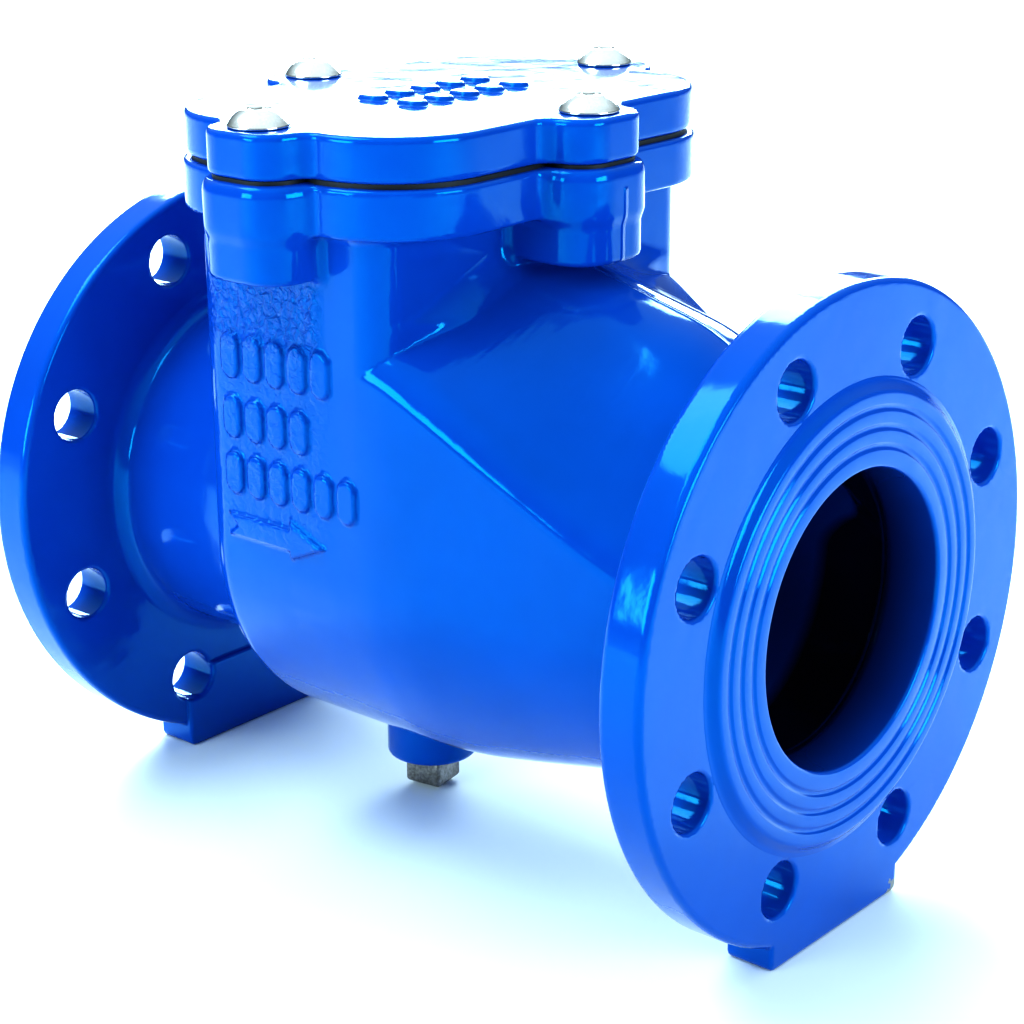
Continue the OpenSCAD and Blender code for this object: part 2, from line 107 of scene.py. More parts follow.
middle = (0, 0, 0.12)
softbox("light_behind", (-0.95, 1.25, 0.80), middle, 1.5, 0.6, 42)
softbox("light_above", (-0.55, -0.60, 1.45), middle, 1.1, 0.7, 17)
softbox("light_front", (-0.45, -1.60, 0.50), middle, 0.8, 0.5, 14)
softbox("light_outlet", (1.60, 0.10, 0.50), middle, 0.8, 0.5, 15)
softbox("light_backdrop", (-1.7, 2.1, 2.3), (-1.7, 2.1, 0), 1.4, 1.4, 80)

world = bpy.data.worlds.new("studio")
world.use_nodes = True
background = world.node_tree.nodes["Background"]
background.inputs["Color"].default_value = COOL
direction = add(world.node_tree, "TexCoord", {}).outputs["Generated"]
height = add(world.node_tree, "SeparateXYZ", {0: direction}).outputs["Z"]
glow = add(world.node_tree, "MapRange", {"Value": height, "To Min": 0.12, "To Max": 1.1},
           interpolation_type="SMOOTHSTEP")
world.node_tree.links.new(glow.outputs["Result"], background.inputs["Strength"])
bpy.context.scene.world = world
bpy.context.scene.view_settings.view_transform = "Standard"
bpy.context.scene.view_settings.look = "High Contrast"

floor_mesh = bpy.data.meshes.new("floor")
floor_mesh.from_pydata([(-8, -8, 0), (8, -8, 0), (8, 8, 0), (-8, 8, 0)], [], [(0, 1, 2, 3)])
floor = bpy.data.objects.new("floor", floor_mesh)
bpy.context.scene.collection.objects.link(floor)
floor_paint = bpy.data.materials.new("matt_white_board")
floor_paint.use_nodes = True
floor_shader = floor_paint.node_tree.nodes["Principled BSDF"]
floor_shader.inputs["Base Color"].default_value = linear("#F2F2F2")
floor_shader.inputs["Roughness"].default_value = 0.9
floor_mesh.materials.append(floor_paint)
print("five lights, one floor")

# %% [markdown]
# ## How a casting is shaped
# A casting is a few simple solids that melt into each other: every inner corner has a fillet and
# every outer edge is rounded, because molten iron and moulding sand don't make sharp ones.
# Bevels on a mesh with this many crossings fail, so the castings here are *fields*. A field says
# how far a point is from the surface, negative inside. Joining two fields with a fillet is one
# line of arithmetic. Everything is in millimetres, measured from the pipe axis.

# %% Joining and cutting fields
def join(a, b, r):
    """Union with a round fillet: inside the corner the level is a circle of radius r."""
    return np.maximum(r, np.minimum(a, b)) - np.hypot(np.maximum(r - a, 0), np.maximum(r - b, 0))


def meet(a, b, r):
    """What is in both fields, with the edge between them rounded to radius r."""
    return np.minimum(-r, np.maximum(a, b)) + np.hypot(np.maximum(r + a, 0), np.maximum(r + b, 0))


def plan(u, v, half_u, half_v, r):
    """Distance to a rectangle centred at zero whose corners are arcs of radius r."""
    qu, qv = np.abs(u) - half_u + r, np.abs(v) - half_v + r
    return np.hypot(np.maximum(qu, 0), np.maximum(qv, 0)) + np.minimum(np.maximum(qu, qv), 0) - r


def slab(outline, w, w0, w1, r):
    """An outline carried from w0 to w1, its two rims rounded to radius r."""
    return meet(outline, np.abs(w - (w0 + w1) / 2) - (w1 - w0) / 2, r)


def ramp(value, start, end):
    """Goes smoothly from 0 at start to 1 at end, as three t squared minus two t cubed."""
    t = np.clip((value - start) / (end - start), 0, 1)
    return t * t * (3 - 2 * t)


print("fillet halfway into a corner:", float(join(np.float64(1), np.float64(1), 4)))

# %% [markdown]
# ## From a field to a mesh
# The field is sampled on a grid. Each cell that the surface crosses gets one vertex, and each
# grid edge that it crosses gets one face between four of those vertices. The vertices then slide
# down the field's slope until they lie on the surface exactly, which a cell size alone can't do.
# A Decimate modifier thins the flat areas, and the shading normals come from the field as well,
# so that a rim two cells wide still reflects like a round one.

# %% Meshing a field
def sample(field, points):
    """The field at an array of points, given as rows."""
    x, y, z = points.T
    return field(x, y, z)


def slope(field, points, reach=0.35):
    """The field's direction of steepest climb, from the difference across each axis."""
    columns = []
    for axis in range(3):
        step = np.zeros(3)
        step[axis] = reach
        columns.append((sample(field, points + step) - sample(field, points - step)) / (2 * reach))
    return np.stack(columns, 1)


def settle(field, points, limit, rounds=3):
    """Slides points down the slope by value over steepness, no further than the limit."""
    for _ in range(rounds):
        climb = slope(field, points)
        steep = np.maximum((climb ** 2).sum(1), 0.05)
        shift = climb * (sample(field, points) / steep)[:, None]
        length = np.maximum(np.linalg.norm(shift, axis=1), 1e-9)
        points = points - shift * np.minimum(1, limit / length)[:, None]
    return points


def net(field, low, high, cell):
    """Vertices and quads of the field's zero level: one vertex a cell, one quad an edge."""
    axes = [np.arange(a - 1.5 * cell, b + 2.5 * cell, cell) for a, b in zip(low, high)]
    grid = np.empty([len(a) for a in axes], np.float32)
    for start in range(0, len(axes[0]), 8):
        part = np.meshgrid(axes[0][start:start + 8], axes[1], axes[2], indexing="ij")
        grid[start:start + 8] = field(*[p.astype(np.float32) for p in part])
    inside = grid < 0
    corners = [(i, j, k) for i in (0, 1) for j in (0, 1) for k in (0, 1)]
    size = np.array(grid.shape) - 1
    views = [tuple(slice(c, c + n) for c, n in zip(corner, size)) for corner in corners]
    count = sum(inside[v].astype(np.uint8) for v in views)
    crossed = (count > 0) & (count < 8)
    number = np.full(size, -1, np.int32)
    number[crossed] = np.arange(crossed.sum())
    cells = np.argwhere(crossed)
    value = np.stack([grid[v][crossed] for v in views], 1)
    total, hits = np.zeros((len(cells), 3)), np.zeros((len(cells), 1))
    for a in range(8):
        for b in range(a + 1, 8):
            gap = np.subtract(corners[b], corners[a])
            if np.abs(gap).sum() != 1:
                continue
            va, vb = value[:, a], value[:, b]
            change = ((va < 0) != (vb < 0))[:, None]
            t = (va / np.where(va == vb, 1, va - vb))[:, None]
            total += change * (np.array(corners[a]) + t * gap)
            hits += change
    points = np.array([a[0] for a in axes]) + cell * (cells + total / hits)
    quads = []
    for axis in range(3):
        one, two = (axis + 1) % 3, (axis + 2) % 3
        near, far = [slice(1, -1)] * 3, [slice(1, -1)] * 3
        near[axis], far[axis] = slice(0, -1), slice(1, None)
        first, last = inside[tuple(near)], inside[tuple(far)]
        spot = np.argwhere(first != last)
        outward = first[tuple(spot.T)]
        ring = []
        for step_one, step_two in ((0, 0), (1, 0), (1, 1), (0, 1)):
            at = spot.copy()
            at[:, one] += step_one
            at[:, two] += step_two
            ring.append(number[tuple(at.T)])
        ring = np.stack(ring, 1)
        quads.append(np.where(outward[:, None], ring, ring[:, ::-1]))
    return points, np.vstack(quads)


AXIS_HEIGHT = 112.0     # the pipe axis above the floor


def to_metres(points):
    """Millimetres from the pipe axis to metres from the floor."""
    return (np.asarray(points) + (0, 0, AXIS_HEIGHT)) / 1000


def to_millimetres(points):
    """Metres from the floor to millimetres from the pipe axis."""
    return np.asarray(points) * 1000 - (0, 0, AXIS_HEIGHT)


def new_piece(name, points, faces, body="valve_body", slot=None, node=()):
    """A mesh object from points in millimetres, riding on a body in place of CAD nodes."""
    mesh = bpy.data.meshes.new(name)
    faces = np.asarray(faces)
    mesh.vertices.add(len(points))
    mesh.vertices.foreach_set("co", to_metres(points).astype(np.float32).ravel())
    mesh.loops.add(faces.size)
    mesh.loops.foreach_set("vertex_index", faces.astype(np.int32).ravel())
    mesh.polygons.add(len(faces))
    mesh.polygons.foreach_set("loop_start", np.arange(0, faces.size, faces.shape[1], dtype=np.int32))
    mesh.update(calc_edges=True)
    mesh.validate()
    mesh.shade_smooth()
    piece = bpy.data.objects.new(name, mesh)
    bpy.context.scene.collection.objects.link(piece)
    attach(piece, body)
    if node:
        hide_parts(*node)
    return piece


def mesh_points(mesh):
    """A mesh's vertices in millimetres from the pipe axis."""
    flat = np.empty(3 * len(mesh.vertices), np.float32)
    mesh.vertices.foreach_get("co", flat)
    return to_millimetres(flat.reshape(-1, 3).astype(float))


def thin(piece, most):
    """Brings a piece under a number of triangles with Blender's Decimate, and applies it."""
    triangles = sum(len(p.vertices) - 2 for p in piece.data.polygons)
    if triangles > most:
        modifier = piece.modifiers.new("thin", "DECIMATE")
        modifier.ratio = most / triangles
        modifier.use_collapse_triangulate = True
        graph = bpy.context.evaluated_depsgraph_get()
        done = bpy.data.meshes.new_from_object(piece.evaluated_get(graph))
        piece.modifiers.clear()
        old, piece.data = piece.data, done
        bpy.data.meshes.remove(old)
    return triangles


def shade_from_field(piece, field):
    """Corner normals from the slope, turned no further from the face's own than its size allows."""
    mesh = piece.data
    points = mesh_points(mesh)
    normal = slope(field, points, 0.25)
    normal /= np.maximum(np.linalg.norm(normal, axis=1), 1e-9)[:, None]
    corner = np.empty(len(mesh.loops), np.int32)
    mesh.loops.foreach_get("vertex_index", corner)
    sides = np.empty(len(mesh.polygons), np.int32)
    mesh.polygons.foreach_get("loop_total", sides)
    flat = np.empty(3 * len(mesh.polygons), np.float32)
    mesh.polygons.foreach_get("normal", flat)
    area = np.empty(len(mesh.polygons), np.float32)
    mesh.polygons.foreach_get("area", area)
    own = np.repeat(flat.reshape(-1, 3), sides, axis=0)
    size = np.repeat(np.sqrt(2 * area) * 1000, sides)
    want = normal[corner]
    cosine = np.clip((want * own).sum(1), -1, 1)
    angle = np.degrees(np.arccos(cosine))
    allowed = 2.5 + 70 / np.maximum(size, 1) ** 1.5
    share = np.where(angle > allowed, allowed / np.maximum(angle, 1e-6), 1)[:, None]
    mixed = own + (want - own) * share
    mixed /= np.maximum(np.linalg.norm(mixed, axis=1), 1e-9)[:, None]
    mesh.normals_split_custom_set(mixed.tolist())


def cast(name, field, low, high, cell, most, **where):
    """A casting: net of the field, thinned, settled on the surface and shaded from the field."""
    points, quads = net(field, low, high, cell)
    points = settle(field, points, 0.6 * cell)
    piece = new_piece(name, points, quads, **where)
    before = thin(piece, most)
    points = settle(field, mesh_points(piece.data), 0.4 * cell, 2)
    piece.data.vertices.foreach_set("co", to_metres(points).astype(np.float32).ravel())
    piece.data.update()
    shade_from_field(piece, field)
    print(name, before, "triangles, thinned to", len(piece.data.polygons))
    return piece


# %% [markdown]
# ## The outline of the cover joint
# The cover, the gasket and the top flange of the body share one outline: a rounded rectangle
# with four lugs for the bolts, and a small fillet where each lug leaves it.

# %% Cover outline
CHEST_X = -24.0         # middle of the chest along the pipe
LUG_HALF = 18.0
COVER_HALF = (60.0, 86.0)
LUG_END = (77.0, 101.8)


def lug_outline(x, y, grow):
    """Two crossing bars with round ends, the ends being the four lugs."""
    along = plan(x - CHEST_X, y, LUG_END[0] + grow, LUG_HALF + grow, 13 + grow)
    across = plan(x - CHEST_X, y, LUG_HALF + grow, LUG_END[1] + grow, 13 + grow)
    return np.minimum(along, across)


def cover_outline(x, y, grow):
    """The rounded rectangle joined to the lugs with 6 mm fillets, grown by a margin."""
    plate = plan(x - CHEST_X, y, COVER_HALF[0] + grow, COVER_HALF[1] + grow, 36 + grow)
    return join(plate, lug_outline(x, y, grow), 6)


BOLTS = [(CHEST_X + 63.5, 0), (CHEST_X - 63.5, 0), (CHEST_X, 88.3), (CHEST_X, -88.3)]


def bolt_holes(x, y, r):
    """Distance to the nearest of the four bolt holes of radius r."""
    return np.minimum.reduce([np.hypot(x - bx, y - by) for bx, by in BOLTS]) - r


print("bolts at", BOLTS)

# %% [markdown]
# ## The outlet: a funnel between the chest and the flange
# Downstream of the chest the body is round below and broad-shouldered above, because the flap
# swings up into it. Each cross-section is the tight skin round a big circle, two shoulder circles
# and a crown circle. A skin like that is easy to give by its *reach*: how far it gets in each
# direction. The reach turns into a radius for each angle, which is kept in a table.

# %% Outlet section table
STATIONS = [14.0, 89.5, 131.0]
LONG_X = np.arange(-30.0, 150.0, 1.0)
STEPS = 4               # table columns in one degree
TURN = np.radians(np.arange(0.0, 360.0, 1 / STEPS))


def eased(values, at=STATIONS, ease=15):
    """Straight lines between stations, averaged over a sliding window so that no kink is left."""
    window = np.hanning(2 * ease + 3)[1:-1]
    x = np.arange(LONG_X[0] - ease, LONG_X[-1] + ease + 0.5)
    return np.convolve(np.interp(x, at, values), window / window.sum(), "valid")


def outlet_table():
    """Radius for each X and angle: the least reach over the cosine of the angle between."""
    radius = eased([81.0, 81.0, 79.5, 75.9, 71.2, 64.9, 62.0], [-20, 11, 26, 46, 70, 110, 131], 8)
    circles = [(0 * radius, 0 * radius, radius)]
    for side in (-1, 1):
        circles.append((side * eased([67, 51.1, 33.8]), eased([71.5, 26.1, 3.8]), eased([14, 18, 28])))
    circles.append((0 * radius, eased([80, 54, 33]), eased([26.4, 33, 30])))
    reach = np.max([cy[:, None] * np.cos(TURN) + cz[:, None] * np.sin(TURN) + r[:, None]
                    for cy, cz, r in circles], axis=0)
    cosine = np.cos(TURN[:, None] - TURN[None, :]).astype(np.float32)
    stretch = np.where(cosine > 0.15, 1 / np.maximum(cosine, 0.15), 1e6)
    return np.stack([(row[:, None] * stretch).min(axis=0) for row in reach.astype(np.float32)])


RADIUS = outlet_table()
RADIUS = np.hstack([RADIUS, RADIUS[:, :1]])
LEAN = 1 / np.sqrt(1 + np.gradient(RADIUS, axis=0) ** 2
                   + (np.gradient(RADIUS, np.radians(1 / STEPS), axis=1) / RADIUS) ** 2)


def outlet_side(x, y, z):
    """Radius of the point minus the table's, times the lean of the wall, which makes it a distance."""
    turn = np.degrees(np.arctan2(z, y)) % 360 * STEPS
    along = np.clip(x - LONG_X[0], 0, len(LONG_X) - 1.001)
    i, j = along.astype(np.int32), np.minimum(turn.astype(np.int32), len(TURN) - 1)
    u, v = along - i, turn - j
    near = (RADIUS[i, j] * (1 - v) + RADIUS[i, j + 1] * v) * (1 - u)
    return (np.hypot(y, z) - near - (RADIUS[i + 1, j] * (1 - v) + RADIUS[i + 1, j + 1] * v) * u) \
        * LEAN[i, j]


shown = RADIUS[[40, 120, 160]][:, [0, 90 * STEPS]]
print("outlet radius, level with the axis and up:", shown.round(1).tolist())

# %% [markdown]
# ## The marks on the side
# A cast valve carries raised marks on its wall. Here they are plain bars, and an arrow that
# shows which way the water flows.

# %% Raised marks
CHEST_SIDE = 81.0
MARK_X = -53.5
MARK_RISE = 1.8
MARK_ROWS = [(63, 16, 5), (42, 15, 4), (22, 15, 6)]     # bottom, height, how many
MARK_PITCH, MARK_HALF = 10.6, 4.2
ARROW = np.array([(0, -4), (30, -4), (30, -7), (46, 0), (30, 7), (30, 4), (0, 4), (5, 0)], float)


def bar(u, v, half_u, half_v):
    """A bar with round ends: a rectangle whose corner radius is its smaller half."""
    return plan(u, v, half_u, half_v, min(half_u, half_v))


def polygon_distance(u, v, corners):
    """Distance to the nearest side, made negative where a ray crosses an odd number of sides."""
    best, inside = np.full(u.shape, 1e9), np.zeros(u.shape, bool)
    for (au, av), (bu, bv) in zip(corners, np.roll(corners, -1, axis=0)):
        eu, ev = bu - au, bv - av
        t = np.clip(((u - au) * eu + (v - av) * ev) / (eu * eu + ev * ev), 0, 1)
        best = np.minimum(best, np.hypot(u - au - t * eu, v - av - t * ev))
        if ev:
            inside ^= ((v >= av) != (v >= bv)) & (u < au + (v - av) * eu / ev)
    return np.where(inside, -best, best)


def marks(x, y, z):
    """The marks' outline on the wall, carried out of it by their rise, with soft rims."""
    outline = polygon_distance(x - MARK_X, z - 10.5, ARROW)
    for bottom, height, count in MARK_ROWS:
        for i in range(count):
            centre = MARK_X + i * MARK_PITCH + MARK_HALF
            outline = np.minimum(outline, bar(x - centre, z - bottom - height / 2, MARK_HALF, height / 2))
    return slab(outline, y, -CHEST_SIDE - MARK_RISE, -CHEST_SIDE + 3, 1.1)


print(sum(row[2] for row in MARK_ROWS), "bars and an arrow")

# %% [markdown]
# ## The body
# Two flanges, a neck, the chest, the outlet, the top flange and the lugs, joined in the order in
# which they meet, then hollowed. The outlet begins inside the chest, so that their side walls run
# into one another. The fillet where the outlet's roof meets the chest is 9 mm, and fades to
# nothing down the sides.

# %% Body field
WALL = 9.5
BORE = 50.0
JOINT = 135.0
FLANGE_BACK, FLANGE_FRONT, FLANGE_RADIUS = 131.0, 147.0, 110.0
NECK_RADIUS = 64.5
CHEST_HALF, CHEST_CORNER = 43.5, 12.0
CHAMBER_HALF, CHAMBER_CORNER = (34.0, 71.5), 10.0
OUTLET_MIDDLE, OUTLET_HALF = 57.75, 82.75      # from inside the chest to inside the flange
RIM_HEIGHT, LUG_HEIGHT = 16.5, 32.0
FOOT_HALF, FOOT_MIDDLE = (38.0, 16.0), -96.0
HOLE_CIRCLE, HOLE_RADIUS = 90.0, 9.5
DRAIN_X, DRAIN_BOSS, DRAIN_FACE = -35.0, 17.0, -98.5
SEAT_BOSS, SEAT_FACE = 63.0, -48.5
LEDGE_TOP, LEDGE_HEIGHT = 92.0, 16.0


def body_outside(x, y, z):
    """The outer skin of the casting, without holes."""
    radius, along = np.hypot(y, z), np.abs(x)
    below = np.hypot(y, np.minimum(z, 0))
    flange = slab(radius - FLANGE_RADIUS, along, FLANGE_BACK, FLANGE_FRONT, 2.2)
    neck = np.maximum(radius - NECK_RADIUS, np.abs(x + 100) - 45)
    chest = np.maximum(plan(x - CHEST_X, below, CHEST_HALF, CHEST_SIDE, CHEST_CORNER), z - JOINT + 2)
    outlet = np.maximum(outlet_side(x, y, z), np.abs(x - OUTLET_MIDDLE) - OUTLET_HALF)
    shape = join(neck, chest, 5)
    shape = join(shape, outlet, 0.05 + 8.95 * ramp(z, 80, 90) * ramp(x, 8, 20))
    shape = join(shape, flange, 7)
    rim = slab(cover_outline(x, y, 1), z, JOINT - RIM_HEIGHT, JOINT, 1.5)
    lugs = slab(lug_outline(x, y, 1), z, JOINT - LUG_HEIGHT, JOINT - 2, 2)
    shape = join(join(shape, rim, 3), lugs, 4)
    boss = slab(np.hypot(x - DRAIN_X, y) - DRAIN_BOSS, z, DRAIN_FACE, -70, 1.6)
    shape = join(shape, boss, 5)
    foot = slab(plan(y, z - FOOT_MIDDLE, *FOOT_HALF, 2.5), along, FLANGE_BACK - 2, FLANGE_FRONT, 1.4)
    return np.minimum(shape, foot)


def body_inside(x, y, z):
    """The bore, the chamber and the funnel behind it, as one hollow."""
    radius = np.hypot(y, z)
    below = np.hypot(y, np.minimum(z, 0))
    chamber = np.maximum(plan(x - CHEST_X, below, *CHAMBER_HALF, CHAMBER_CORNER), z - JOINT - 5)
    funnel = np.maximum(outlet_side(x, y, z) + WALL, np.abs(x - 61) - 66)
    return join(chamber, funnel, 3), radius - BORE


def holes(x, y, z):
    """Flange holes by folding the angle into one eighth of a turn, and the threaded holes."""
    turn = np.arctan2(z, y)
    eighth = math.pi / 4
    folded = turn % eighth - eighth / 2
    radius = np.hypot(y, z)
    flange = np.hypot(radius * np.cos(folded) - HOLE_CIRCLE, radius * np.sin(folded)) - HOLE_RADIUS
    flange = np.maximum(flange, 128 - np.abs(x))
    bolts = np.maximum(bolt_holes(x, y, 6.02), 112.5 - z)
    drain = np.maximum(np.hypot(x - DRAIN_X, y) - 9.02, z + 59.5)
    screws = np.maximum(np.hypot(x + 43.5, np.abs(y) - 50.4) - 5.02, np.abs(z - 86) - 8)
    return flange, np.minimum(np.minimum(bolts, drain), screws)


def body_field(x, y, z):
    """Outside, minus the hollow, plus seat boss and ledges, minus bores and holes."""
    shape = body_outside(x, y, z)
    near = (y < 5 - CHEST_SIDE) & (x > -62) & (x < 18) & (z > -6) & (z < 88)
    if near.any():
        shape[near] = join(shape[near], marks(x[near], y[near], z[near]), 1.0)
    hollow, bore = body_inside(x, y, z)
    shape = meet(shape, -hollow, 1.0)
    boss = slab(np.hypot(y, z) - SEAT_BOSS, x, -64, SEAT_FACE, 1.2)
    ledge = slab(plan(x + 47.75, np.abs(y) - 57.45, 12.25, 15.05, 1.5), z, LEDGE_TOP - LEDGE_HEIGHT,
                 LEDGE_TOP, 1.2)
    shape = join(join(shape, boss, 2), ledge, 2)
    shape = meet(shape, -bore, 1.2)
    ring = np.maximum(np.hypot(y, z) - 57, np.abs(x + 51.5) - 7)
    shape = np.maximum(shape, -ring)
    flange_holes, threads = holes(x, y, z)
    return np.maximum(meet(shape, -flange_holes, 1.3), -threads)


BODY_CELL = 1.3
body = cast("casting_body", body_field, (-147, -110, -112), (147, 110, 135), BODY_CELL, 196000,
            slot="body_paint", node=("body",))

# %% [markdown]
# ## The raised faces
# Each flange has a machined ring that seals against its neighbour, with three fine grooves that
# grip the gasket. It is a lathe job in reality, and here too: one closed profile, turned round
# the pipe axis. Its inner side runs a little way down the bore, so that no seam shows.

# %% Turned pieces
def turned(profile, count, wide=None):
    """Points of a profile of (radius, height) rows turned round Z; wide changes radius by angle."""
    turn = np.linspace(0, 2 * np.pi, count, endpoint=False)
    radius, height = np.asarray(profile, float).T
    reach = radius[:, None] * np.ones_like(turn) if wide is None else wide(radius, height, turn)
    return np.stack([reach * np.cos(turn), reach * np.sin(turn), height[:, None] + 0 * turn], 2)


def grid_faces(rows, columns, closed):
    """Quads of a grid that wraps round its columns, and round its rows as well if closed."""
    i = np.arange(rows if closed else rows - 1)[:, None]
    j = np.arange(columns)[None, :]
    down, right = (i + 1) % rows, (j + 1) % columns
    quad = np.stack([i * columns + j, i * columns + right, down * columns + right,
                     down * columns + j], 2)
    return quad.reshape(-1, 4)


def outward(points, faces):
    """The faces, reversed if the volume they enclose comes out negative."""
    a, b, c, d = (points[faces[:, k]] for k in range(4))
    volume = (np.cross(b - a, c - a) * a).sum() + (np.cross(c - a, d - a) * a).sum()
    return faces if volume > 0 else faces[:, ::-1]


def arc(centre, radius, start, end, count):
    """Points on an arc, angles in degrees."""
    a = np.radians(np.linspace(start, end, count))
    return [(centre[0] + radius * math.cos(t), centre[1] + radius * math.sin(t)) for t in a]


# %% Raised faces
def face_profile():
    """Bore, rounded mouth, grooved face, rounded shoulder and a small foot fillet."""
    rows = [(BORE - 0.05, 129 + k) for k in range(0, 19, 3)]
    rows += arc((BORE + 1.45, 148.5), 1.5, 180, 90, 7)
    for groove in (57, 63.2, 69.4):
        for step, depth in ((-1.5, 0), (-1.1, 0.1), (-0.7, 0.55), (0, 0.75), (0.7, 0.55),
                            (1.1, 0.1), (1.5, 0)):
            rows.append((groove + step, 150 - depth))
        rows.append((groove + 3.1, 150))
    rows += arc((73.4, 147.4), 2.6, 90, 35, 6)
    rows += [(76.6, 147.95), (77.3, 147.4), (78.1, 147.1), (79.2, 146.98), (79.6, 146.6)]
    rows += [(79.6, 145.5), (BORE + 0.6, 145.5), (BORE + 0.6, 129.0)]
    return rows


profile = face_profile()
for side, name in ((-1, "inlet_face"), (1, "outlet_face")):
    ring = turned(profile, 240).reshape(-1, 3)
    points = np.stack([side * ring[:, 2], ring[:, 0], ring[:, 1]], 1)
    faces = outward(points, grid_faces(len(profile), len(ring) // len(profile), True))
    new_piece("raised_" + name, points, faces, slot="body_paint", node=("body",))
    print("raised", name, len(faces), "quads")

# %% [markdown]
# ## The cover
# A flat iron plate with the joint's outline, a spigot below that centres it, and raised bars on
# top where a maker would put a name. It is cast, so it is a field like the body.

# %% Cover field
COVER_LOW, COVER_HIGH = 136.5, 151.5


def cover_field(x, y, z):
    """The plate with soft rims, the spigot and the bars, less the bolt holes."""
    plate = slab(cover_outline(x, y, 0), z, COVER_LOW, COVER_HIGH, 1.9)
    spigot = slab(plan(x - CHEST_X, y, 33, 70.5, 9), z, JOINT - 4, COVER_LOW + 2, 0.8)
    bars = np.minimum.reduce([bar(x - CHEST_X - 9 * side, y - 13 * i, 5.5, 4)
                              for side in (-1, 1) for i in (-2, -1, 0, 1, 2)])
    bars = slab(bars, z, COVER_HIGH - 3, COVER_HIGH + MARK_RISE, 1.1)
    shape = join(join(plate, spigot, 0.6), bars, 1.0)
    return meet(shape, -bolt_holes(x, y, 6.75), 0.6)


COVER_CELL = 1.0
cover = cast("casting_cover", cover_field, (-101, -102, 131), (53, 102, 154), COVER_CELL, 150000,
             slot="cover_paint", node=("cover",))

# %% [markdown]
# ## The cover bolts
# M12 button-head screws with a hexagon socket. The head is turned, so it is a profile, but the
# socket is not round: its radius at each angle is the flat's distance over a cosine.

# %% Cover bolts
HEAD_RADIUS, HEAD_HEIGHT, SHANK = 10.5, 6.96, 6.0
SOCKET_HALF, MOUTH = 3.96, 4.75


def bolt_profile():
    """Shank, underside, rim, dome, socket mouth and socket floor, as (radius, height) rows."""
    dome_radius = (HEAD_RADIUS ** 2 + HEAD_HEIGHT ** 2) / (2 * HEAD_HEIGHT)
    low, high = (math.degrees(a) for a in (math.asin(1 - (HEAD_HEIGHT - 1.1) / dome_radius),
                                           math.acos(MOUTH / dome_radius)))
    dome = arc((0, HEAD_HEIGHT - dome_radius), dome_radius, low, high, 12)
    mouth = dome[-1][1]
    rows = [(0.0, -36), (4.4, -36), (SHANK, -34.4), (SHANK, -20), (SHANK, -6), (SHANK, 0.05)]
    rows += [(9.4, 0.05), (10.0, 0.15), (10.35, 0.5)] + dome
    rows += [(MOUTH - 0.12, mouth - 0.08), (SOCKET_HALF + 0.1, mouth - 0.5)]
    rows += [(SOCKET_HALF, mouth - 0.8), (SOCKET_HALF, mouth - 3.0)]
    rows += [(SOCKET_HALF - 0.3, mouth - 3.2), (0.0, mouth - 3.5)]
    return rows


def socket_wide(radius, height, turn):
    """Round everywhere, but a hexagon where the radius is the socket's and the height is above it."""
    corner = 1 / np.cos((turn + math.pi / 6) % (math.pi / 3) - math.pi / 6)
    hexagon = ((radius <= SOCKET_HALF + 0.2) & (height > 1)).astype(float)[:, None]
    return radius[:, None] * (1 + hexagon * (corner - 1))


profile = bolt_profile()
print("bolt profile", [(round(a, 1), round(b, 1)) for a, b in profile])
one = turned(profile, 60, socket_wide).reshape(-1, 3)
faces = outward(one, grid_faces(len(profile), 60, False))
centres = [(x, y, COVER_HIGH) for x, y in BOLTS]
turns = np.radians([12, 41, 3, 27])
spun = [np.stack([one[:, 0] * math.cos(t) - one[:, 1] * math.sin(t),
                  one[:, 0] * math.sin(t) + one[:, 1] * math.cos(t), one[:, 2]], 1) for t in turns]
bolts = new_piece("button_head_screws", np.vstack([s + c for s, c in zip(spun, centres)]),
                  np.vstack([faces + k * len(one) for k in range(4)]),
                  slot="bolt_steel", node=("cover_bolts",))
print("four screws,", len(bolts.data.polygons), "faces")

# %% [markdown]
# ## The drain plug
# A malleable-iron plug with a square head for the spanner. The head's outline is a
# superellipse, which is a square with worn corners, and the shank above it is round.

# %% Drain plug
PLUG_HALF, PLUG_TURN = 7.5, math.radians(9)     # half the square, and how far it is turned


def plug_wide(radius, height, turn):
    """A superellipse of power 18 below the boss, blended to a circle above it."""
    t = turn - PLUG_TURN
    square = (np.abs(np.cos(t)) ** 18 + np.abs(np.sin(t)) ** 18) ** (-1 / 18)
    head = (height < -100).astype(float)[:, None]
    return radius[:, None] * (1 + head * (square - 1))


profile = [(0.0, -110.5), (3.0, -110.5), (6.2, -110.5), (6.9, -110.3), (7.3, -109.8), (PLUG_HALF, -109.2)]
profile += [(PLUG_HALF, -106), (PLUG_HALF, -103), (PLUG_HALF, -100.6), (9.0, -99.9), (9.0, -98.4)]
profile += [(9.0, -97.8), (9.0, -92), (9.0, -85.5), (8.2, -84.5), (0.0, -84.5)]
plug = turned(profile, 144, plug_wide).reshape(-1, 3) + (DRAIN_X, 0, 0)
faces = outward(plug, grid_faces(len(profile), 144, False))
drain_plug = new_piece("square_head_plug", plug, faces, slot="plug_steel", node=("drain_plug",))
print("plug", len(faces), "quads")
